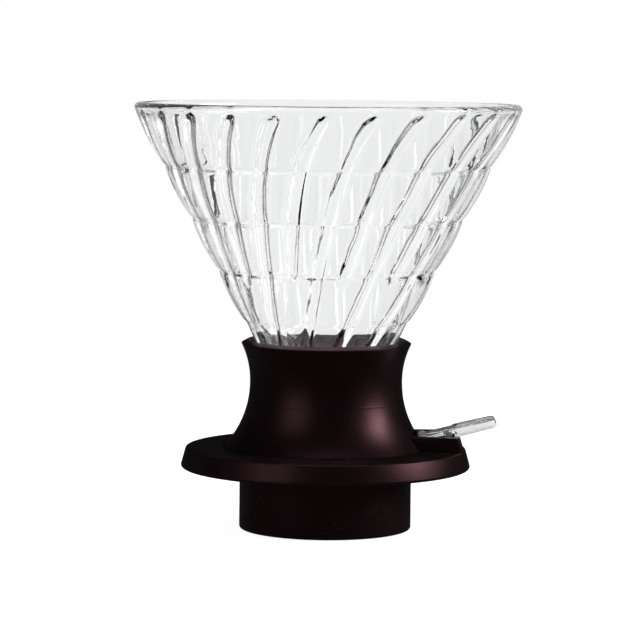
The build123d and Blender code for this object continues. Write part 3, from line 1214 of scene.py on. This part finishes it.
@dataclass
class Stand:
    """Skirt, disc with a sloping edge, and the two guards beside the lever."""

    skirt_radius: float = 31.4 * MM
    skirt_wall: float = 3.5 * MM
    skirt_height: float = 22.4 * MM
    disc_radius: float = 53.1 * MM
    edge_height: float = 7.2 * MM
    edge_taper: float = 2.0 * MM
    hub_rise: float = 0.3 * MM
    guard_inner: float = 8.75 * MM
    guard_thickness: float = 5.0 * MM
    seam: float = 0.5 * MM
    finish: SoftSkin = field(
        default_factory=lambda: SoftSkin("stand_silicone_skin", roughness=0.4, dust=0.5, line_depth=0.5)
    )

    def taper(self, z: float) -> float:
        """Radius of the disc's sloping edge at a height."""
        return self.disc_radius - self.edge_taper * (z - self.skirt_height) / self.edge_height

    def build(self, holder: Holder) -> None:
        """Makes the stand and hands it over.

        Args:
            holder: The holder whose spigot sits in the stand's groove.
        """
        bore = self.skirt_radius - self.skirt_wall
        edge_top = self.skirt_height + self.edge_height
        top = edge_top + self.hub_rise
        guard_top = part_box("stand")[1][2]
        groove_out = holder.foot_radius - holder.spigot_inset + 0.1 * MM
        groove_in = groove_out - holder.spigot_wall - 0.2 * MM
        groove_low = top - holder.spigot_depth - 0.1 * MM
        outline = [
            (bore, 0.0, 0.5 * MM),
            (self.skirt_radius, 0.0, 0.8 * MM),
            (self.skirt_radius, self.skirt_height, 0.3 * MM),
            (self.disc_radius, self.skirt_height, 0.9 * MM),
            (self.taper(edge_top), edge_top, 0.55 * MM),
            (holder.foot_radius + self.seam, top - 0.05 * MM, 0.3 * MM),
            (holder.foot_radius + 0.05 * MM, top - 0.55 * MM),
            (holder.foot_radius - 0.7 * MM, top - 0.1 * MM),
            (groove_out, top - 0.1 * MM),
            (groove_out, groove_low),
            (groove_in, groove_low),
            (groove_in, top, 0.2 * MM),
            (bore, top, 0.5 * MM),
        ]
        piece = lathe("stand_visual", rounded(outline), 288)
        for side in (-1, 1):
            combine(piece, self.guard(side, holder, guard_top, edge_top), Cut.ADD)
        relief = prism(
            "relief",
            [(bore - 4 * MM, top - 2.6 * MM), (groove_in - 0.05 * MM, top - 2.6 * MM),
             (groove_in - 0.05 * MM, top + 2 * MM), (bore - 4 * MM, top + 2 * MM)],
            -4.75 * MM, 4.75 * MM, "Y",
        )
        combine(piece, relief, Cut.TAKE)
        smooth(dress(piece, self.finish.make()), 28.0)
        hand_over(piece, "base", "stand")

    def guard(self, side: int, holder: Holder, guard_top: float, edge_top: float) -> bpy.types.Object:
        """Makes one guard wall.

        Args:
            side: 1 for the guard on +Y, -1 for the other.
            holder: The holder that the guard runs up to.
            guard_top: The height of its top.
            edge_top: The height of the disc's edge.

        Returns:
            The closed wall, which reaches a little into the disc.
        """
        low = edge_top - 1.2 * MM
        near, far = self.guard_inner, self.guard_inner + self.guard_thickness
        ends = sorted((side * near, side * far))
        plan = [(26 * MM, ends[0]), (60 * MM, ends[0]), (60 * MM, ends[1]), (26 * MM, ends[1])]
        wall = prism("guard", plan, low, guard_top, "Z")
        keep = lathe("keep", [(0.0, low - MM), (self.taper(low - MM), low - MM),
                              (self.taper(guard_top + MM), guard_top + MM), (0.0, guard_top + MM)], 576)
        combine(wall, keep, Cut.KEEP)
        eased(wall, 0.55 * MM, 4, 50.0)
        shy = [(r + 0.12 * MM, z) for r, z in holder.flank(0.0, holder.foot_z, holder.waist_z, 24)]
        sleeve = lathe("sleeve", [(0.0, low - MM), (shy[0][0], low - MM), *shy, (0.0, holder.waist_z)], 576)
        return combine(wall, sleeve, Cut.TAKE)


# ---------------------------------------------------------------- lever


@dataclass
class Lever:
    """Clear lever: barrel, arm and paddle outside, and the arm, ring and post that work the ball inside."""

    rise: float = 13.0
    width: float = 16.0 * MM
    barrel: float = 2.18 * MM
    arm_start_width: float = 7.0 * MM
    arm_width: float = 11.0 * MM
    arm_thickness: float = 2.0 * MM
    offset: float = 0.9 * MM
    paddle_start: float = 11.7 * MM
    paddle_end: float = 27.5 * MM
    paddle_thickness: float = 3.2 * MM
    stop_reach: float = 9.6 * MM
    stop_radius: float = 1.25 * MM
    inner_width: float = 8.0 * MM
    inner_thickness: float = 2.6 * MM
    ring_radius: float = 11.5 * MM
    ring_width: float = 2.5 * MM
    bar_thickness: float = 2.5 * MM
    post_radius: float = 2.5 * MM
    grip_ridges: int = 3
    ridge_step: float = 1.3 * MM
    ridge_radius: float = 0.42 * MM
    ridge_sink: float = 0.25 * MM
    ridge_inset: float = 2.2 * MM
    arm_drop_x: float = 25.5 * MM
    post_gap: float = 0.15 * MM
    bore_radius: float = 1.15 * MM
    finish: Clear = field(default_factory=lambda: Clear(
        "clear_resin", (0.955, 0.96, 0.962), 1.5, 0.04, 160.0, 0.015 * MM, 0.05, 0.84))
    pin_finish: Steel = field(default_factory=lambda: Steel("drawn_pin_steel", (0.55, 0.55, 0.56), 0.2))

    def __post_init__(self) -> None:
        """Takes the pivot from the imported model's hinge."""
        hinge = next(joint for joint in frame["joints"] if joint["name"] == "lever_tilt")
        self.pivot = Vector(hinge["pos_m"])

    def outer_end(self) -> bpy.types.Object:
        """Makes the barrel, arm and paddle, level, with the pivot at its place."""
        px, pz = self.pivot.x, self.pivot.z
        half = self.width / 2
        barrel = prism("switch_lever_visual", [(px + a, pz + b) for a, b in arc((0, 0), self.barrel, 0, 345, 23)],
                       -half, half, "Y")
        eased(barrel, 0.35 * MM, 3, 60.0)
        top = pz + self.offset + self.arm_thickness / 2
        arm_low = top - self.arm_thickness
        plan = [(px - 0.5 * MM, -self.arm_start_width / 2), (px + self.paddle_start + MM, -self.arm_width / 2),
                (px + self.paddle_start + MM, self.arm_width / 2), (px - 0.5 * MM, self.arm_start_width / 2)]
        arm = eased(prism("arm", plan, arm_low, top, "Z"), 0.45 * MM, 3)
        start, end = px + self.paddle_start, px + self.paddle_end
        low = top - self.paddle_thickness
        side = [
            (start, low, 0.5 * MM),
            (end, low + 0.5 * MM, 1.0 * MM),
            (end, top, 0.9 * MM),
            (start, top, 0.5 * MM),
        ]
        paddle = prism("paddle", rounded(side), -half, half, "Y")
        plate = [
            (start - MM, -half, 1.2 * MM),
            (end + 0.01 * MM, -half, 3.4 * MM),
            (end + 0.01 * MM, half, 3.4 * MM),
            (start - MM, half, 1.2 * MM),
        ]
        combine(paddle, prism("plate", rounded(plate, 8), low - MM, top + MM, "Z"), Cut.KEEP)
        eased(paddle, 0.4 * MM, 3, 50.0)
        under = (px + self.stop_reach, arm_low)
        stop = eased(prism("stop", arc(under, self.stop_radius, 0, 345, 23), -self.arm_width / 2 + 0.2 * MM,
                           self.arm_width / 2 - 0.2 * MM, "Y"), 0.3 * MM, 2, 60.0)
        combine(barrel, arm, Cut.ADD)
        combine(barrel, stop, Cut.ADD)
        return combine(barrel, paddle, Cut.ADD)

    def inner_end(self) -> bpy.types.Object:
        """Makes the arm that drops inside the skirt, the ring, the crossbar and the post."""
        px, pz = self.pivot.x, self.pivot.z
        low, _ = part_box("switch_lever")
        bar_low, bar_top = low[2], low[2] + self.bar_thickness
        post_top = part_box("valve_ball")[0][2] - self.post_gap
        drop_x = self.arm_drop_x
        knee = pz - (px - drop_x) * math.tan(math.radians(self.rise))
        half = self.inner_thickness / 2
        middle = (bar_low + bar_top) / 2
        inner = self.ring_radius - self.ring_width
        ring = [
            (inner, bar_low, 0.5 * MM),
            (self.ring_radius, bar_low, 0.6 * MM),
            (self.ring_radius, bar_top, 0.6 * MM),
            (inner, bar_top, 0.5 * MM),
        ]
        whole = lathe("ring", rounded(ring), 128)
        reach = self.ring_radius - self.ring_width / 2
        thick = self.post_radius
        bar = [(-reach, -thick), (reach, -thick), (reach, thick), (-reach, thick)]
        combine(whole, eased(prism("bar", bar, bar_low + 0.1 * MM, bar_top - 0.1 * MM, "Z"), 0.4 * MM), Cut.ADD)
        post = [
            (0.0, middle),
            (self.post_radius, middle),
            (self.post_radius, post_top, 0.5 * MM),
            (0.0, post_top),
        ]
        combine(whole, lathe("post", rounded(post), 48), Cut.ADD)
        route = [
            (px - 0.6 * MM, knee + half + (px - drop_x) * math.tan(math.radians(self.rise)) - 0.3 * MM),
            (drop_x - half, knee + half, 1.2 * MM),
            (drop_x - half - 1.6 * MM, middle + half, 0.6 * MM),
            (inner + 0.4 * MM, middle + half - 0.1 * MM),
            (inner + 0.4 * MM, bar_low + 0.15 * MM),
            (drop_x + half - 1.4 * MM, bar_low + 0.15 * MM, 1.4 * MM),
            (drop_x + half, knee - half, 0.6 * MM),
            (px - 0.6 * MM, knee - half + (px - drop_x) * math.tan(math.radians(self.rise))),
        ]
        arm = prism("inner_arm", rounded(route), -self.inner_width / 2, self.inner_width / 2, "Y")
        return combine(eased(arm, 0.35 * MM, 3, 40.0), whole, Cut.ADD)

    def ridges(self, top: float) -> bpy.types.Object:
        """Makes the raised grip ridges near the paddle's tip, spaced by a rule.

        Args:
            top: The height of the paddle's upper face, with the lever level.

        Returns:
            The ridges as one mesh of closed bars.
        """
        tree = bpy.data.node_groups.new("grip_ridges", "GeometryNodeTree")
        keys = {"Bar": socket_on(tree, "Bar", "Geometry"), "Count": socket_on(tree, "Count", "Int")}
        keys["Step"] = socket_on(tree, "Step", "Float")
        keys["Material"] = socket_on(tree, "Material", "Material")
        socket_on(tree, "Ridges", "Geometry", "OUTPUT")
        w = Wiring(tree)
        given = w.add("NodeGroupInput").outputs
        step = w.add("ShaderNodeCombineXYZ", {0: given["Step"]})
        line = w.add("GeometryNodeMeshLine", {"Count": given["Count"], "Offset": step.outputs[0]}, mode="OFFSET")
        placed = w.add("GeometryNodeInstanceOnPoints", {"Points": line.outputs[0], "Instance": given["Bar"]})
        w.end(placed.outputs[0], given["Material"], "Ridges")
        last = self.pivot.x + self.paddle_end - self.ridge_inset
        first = last - self.ridge_step * (self.grip_ridges - 1)
        outline = arc((first, top - self.ridge_sink), self.ridge_radius, 0, 330, 11)
        bar = prism("ridges", outline, -self.width * 0.3, self.width * 0.3, "Y")
        values = {"Count": self.grip_ridges, "Step": self.ridge_step, "Material": self.finish.make()}
        return run_tree(bar, tree, keys, values)

    def build(self) -> None:
        """Makes the lever and its pin and hands them over."""
        piece = self.outer_end()
        top = self.pivot.z + self.offset + self.arm_thickness / 2
        combine(piece, self.ridges(top), Cut.ADD)
        tilt(piece, self.pivot, -self.rise)
        combine(piece, self.inner_end(), Cut.ADD)
        round_hole = arc((self.pivot.x, self.pivot.z), self.bore_radius, 0, 350, 35)
        bore = prism("bore", round_hole, -self.width, self.width, "Y")
        combine(piece, bore, Cut.TAKE)
        smooth(dress(piece, bpy.data.materials[self.finish.name]), 30.0)
        hand_over(piece, "lever", "switch_lever")

        low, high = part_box("lever_pin")
        radius = (high[2] - low[2]) / 2
        rod = prism("lever_pin_visual", arc((self.pivot.x, self.pivot.z), radius, 0, 352.5, 47), low[1], high[1], "Y")
        eased(rod, 0.2 * MM, 3, 60.0)
        smooth(dress(rod, self.pin_finish.make()))
        hand_over(rod, "base", "lever_pin")


# ---------------------------------------------------------------- studio


@dataclass
class Studio:
    """Pale floor, soft lights, surroundings and camera."""

    eye: tuple[float, float, float] = (-0.0024, -1.114, 0.1745)
    aim: tuple[float, float, float] = (-0.0024, 0.0, 0.0762)
    lens: float = 172.6
    roll: float = 0.5
    floor_radius: float = 0.45
    floor_drop: float = 0.3 * MM
    floor_glow: float = 0.9
    floor_mirrored: float = 0.03
    floor_through_glass: float = 0.95
    ambient: float = 0.2
    walls_in_skin: float = 0.015
    walls_in_mirror: float = 0.55
    walls_through_glass: float = 0.9
    panel_glow: float = 0.4
    panels_round: float = 5.0
    lost_in_glass: float = 0.3

    def floor(self) -> None:
        """Makes the pale table just under the skirt, lit a little from within, as a light table is."""
        edge = self.floor_radius
        ground = lathe("floor", [(0.0, -self.floor_drop), (edge, -self.floor_drop), (edge, -0.02), (0.0, -0.02)], 96)
        material, w, shader = new_material("pale_floor")
        place = w.place()
        tone = w.spread(w.noise(place, 6.0), 0.2, 0.8)
        w.feed(shader.inputs["Base Color"], w.blend(tone, (0.83, 0.83, 0.83), (0.86, 0.86, 0.86)))
        shader.inputs["Roughness"].default_value = 0.9
        shader.inputs["Specular IOR Level"].default_value = 0.0
        shader.inputs["Emission Color"].default_value = (1.0, 1.0, 1.0, 1)
        shader.inputs["Emission Strength"].default_value = self.floor_glow
        rays = w.add("ShaderNodeLightPath").outputs
        dim = w.add("ShaderNodeEmission", {"Strength": self.floor_mirrored})
        seen = w.add("ShaderNodeEmission", {"Strength": self.floor_through_glass})
        mirrored = w.add("ShaderNodeMixShader", {0: rays["Is Glossy Ray"], 1: shader.outputs[0], 2: dim.outputs[0]})
        choice = {0: rays["Is Transmission Ray"], 1: mirrored.outputs[0], 2: seen.outputs[0]}
        mixed = w.add("ShaderNodeMixShader", choice)
        result = material.node_tree.nodes["Material Output"]
        w.feed(result.inputs["Surface"], mixed.outputs[0])
        dress(ground, material)

    def lamp(self, name: str, at: Sequence[float], size: Point, power: float, warmth: float = 0.0) -> None:
        """Adds a soft rectangular lamp.

        Args:
            name: The lamp's name.
            at: Where it stands.
            size: Its width and height.
            power: Its power, in watts.
            warmth: How warm its colour is; 0 is white and below it is cool.
        """
        data = bpy.data.lights.new(name, "AREA")
        data.shape = "RECTANGLE"
        data.size, data.size_y = size
        data.energy = power
        data.color = (1.0, 1.0 - 0.45 * warmth, 1.0 - 0.6 * warmth)
        lamp = bpy.data.objects.new(name, data)
        lamp.location = at
        lamp.rotation_euler = (Vector((0.0, 0.0, 0.06)) - Vector(at)).to_track_quat("-Z", "Y").to_euler()
        bpy.context.scene.collection.objects.link(lamp)

    def surroundings(self) -> None:
        """Makes the studio's walls: pale to the camera, dim in reflections, and, seen through the glass, with brighter
        panels round about, brighter above, darker below and dimmer after a reflection inside the glass.
        """
        world = bpy.data.worlds.new("studio")
        bpy.context.scene.world = world
        world.use_nodes = True
        w = Wiring(world.node_tree)
        world.node_tree.nodes.clear()
        way = w.add("ShaderNodeSeparateXYZ", {0: w.add("ShaderNodeTexCoord").outputs["Generated"]}).outputs
        rays = w.add("ShaderNodeLightPath").outputs
        above = w.spread(way[2], 0.2, 0.5, 0.0, 0.35)
        below = w.spread(way[2], -0.6, -0.22, 0.22, 0.0)
        bearing = w.math("ARCTAN2", way[0], way[1])
        panels = w.math("MULTIPLY_ADD", w.math("COSINE", w.math("MULTIPLY", bearing, self.panels_round)), -0.5, 0.5)
        panels = w.math("MULTIPLY", w.spread(panels, 0.25, 0.9), self.panel_glow)
        open_sky = w.math("ADD", w.math("SUBTRACT", w.math("ADD", panels, self.walls_through_glass), below), above)
        thrown_back = w.math("MINIMUM", rays["Glossy Depth"], 1.0)
        seen_through = w.math("MULTIPLY", open_sky, w.math("MULTIPLY_ADD", thrown_back, -self.lost_in_glass, 1.0))
        level: object = self.ambient
        shades = (("Is Glossy Ray", self.walls_in_skin), ("Is Singular Ray", self.walls_in_mirror),
                  ("Is Transmission Ray", seen_through), ("Is Camera Ray", 1.0))
        for name, shade in shades:
            mix = w.add("ShaderNodeMix", {0: rays[name]}, data_type="FLOAT")
            w.feed(mix.inputs[2], level)
            w.feed(mix.inputs[3], shade)
            level = mix.outputs[0]
        glow = w.add("ShaderNodeBackground", {"Color": (1.0, 1.0, 1.0, 1), "Strength": level})
        w.add("ShaderNodeOutputWorld", {"Surface": glow.outputs[0]})

    def camera(self) -> None:
        """Adds the camera."""
        data = bpy.data.cameras.new("camera")
        data.lens = self.lens
        camera = bpy.data.objects.new("camera", data)
        camera.location = self.eye
        turn = (Vector(self.aim) - Vector(self.eye)).to_track_quat("-Z", "Y").to_matrix()
        roll = Matrix.Rotation(math.radians(self.roll), 3, "Z")
        camera.rotation_euler = (turn @ roll).to_euler()
        bpy.context.scene.collection.objects.link(camera)
        bpy.context.scene.camera = camera

    def build(self) -> None:
        """Makes the whole studio."""
        self.floor()
        self.lamp("key", (1.0, -0.17, 0.5), (0.42, 0.46), 5.5)
        self.lamp("fill", (-0.72, -0.72, 0.42), (0.6, 0.6), 1.2, -0.1)
        self.lamp("top", (0.1, 0.2, 1.1), (0.6, 0.6), 1.3)
        self.surroundings()
        self.camera()
        scene = bpy.context.scene
        scene.view_settings.view_transform = "Standard"


def main() -> None:
    """Builds every piece, then the studio."""
    logging.basicConfig(level=logging.INFO, format="%(name)s: %(message)s")
    glass = GlassCone()
    glass.build()
    holder = Holder()
    holder.build(glass)
    Valve().build()
    Stand().build(holder)
    Lever().build()
    Studio().build()


if __name__ == "__main__":
    main()
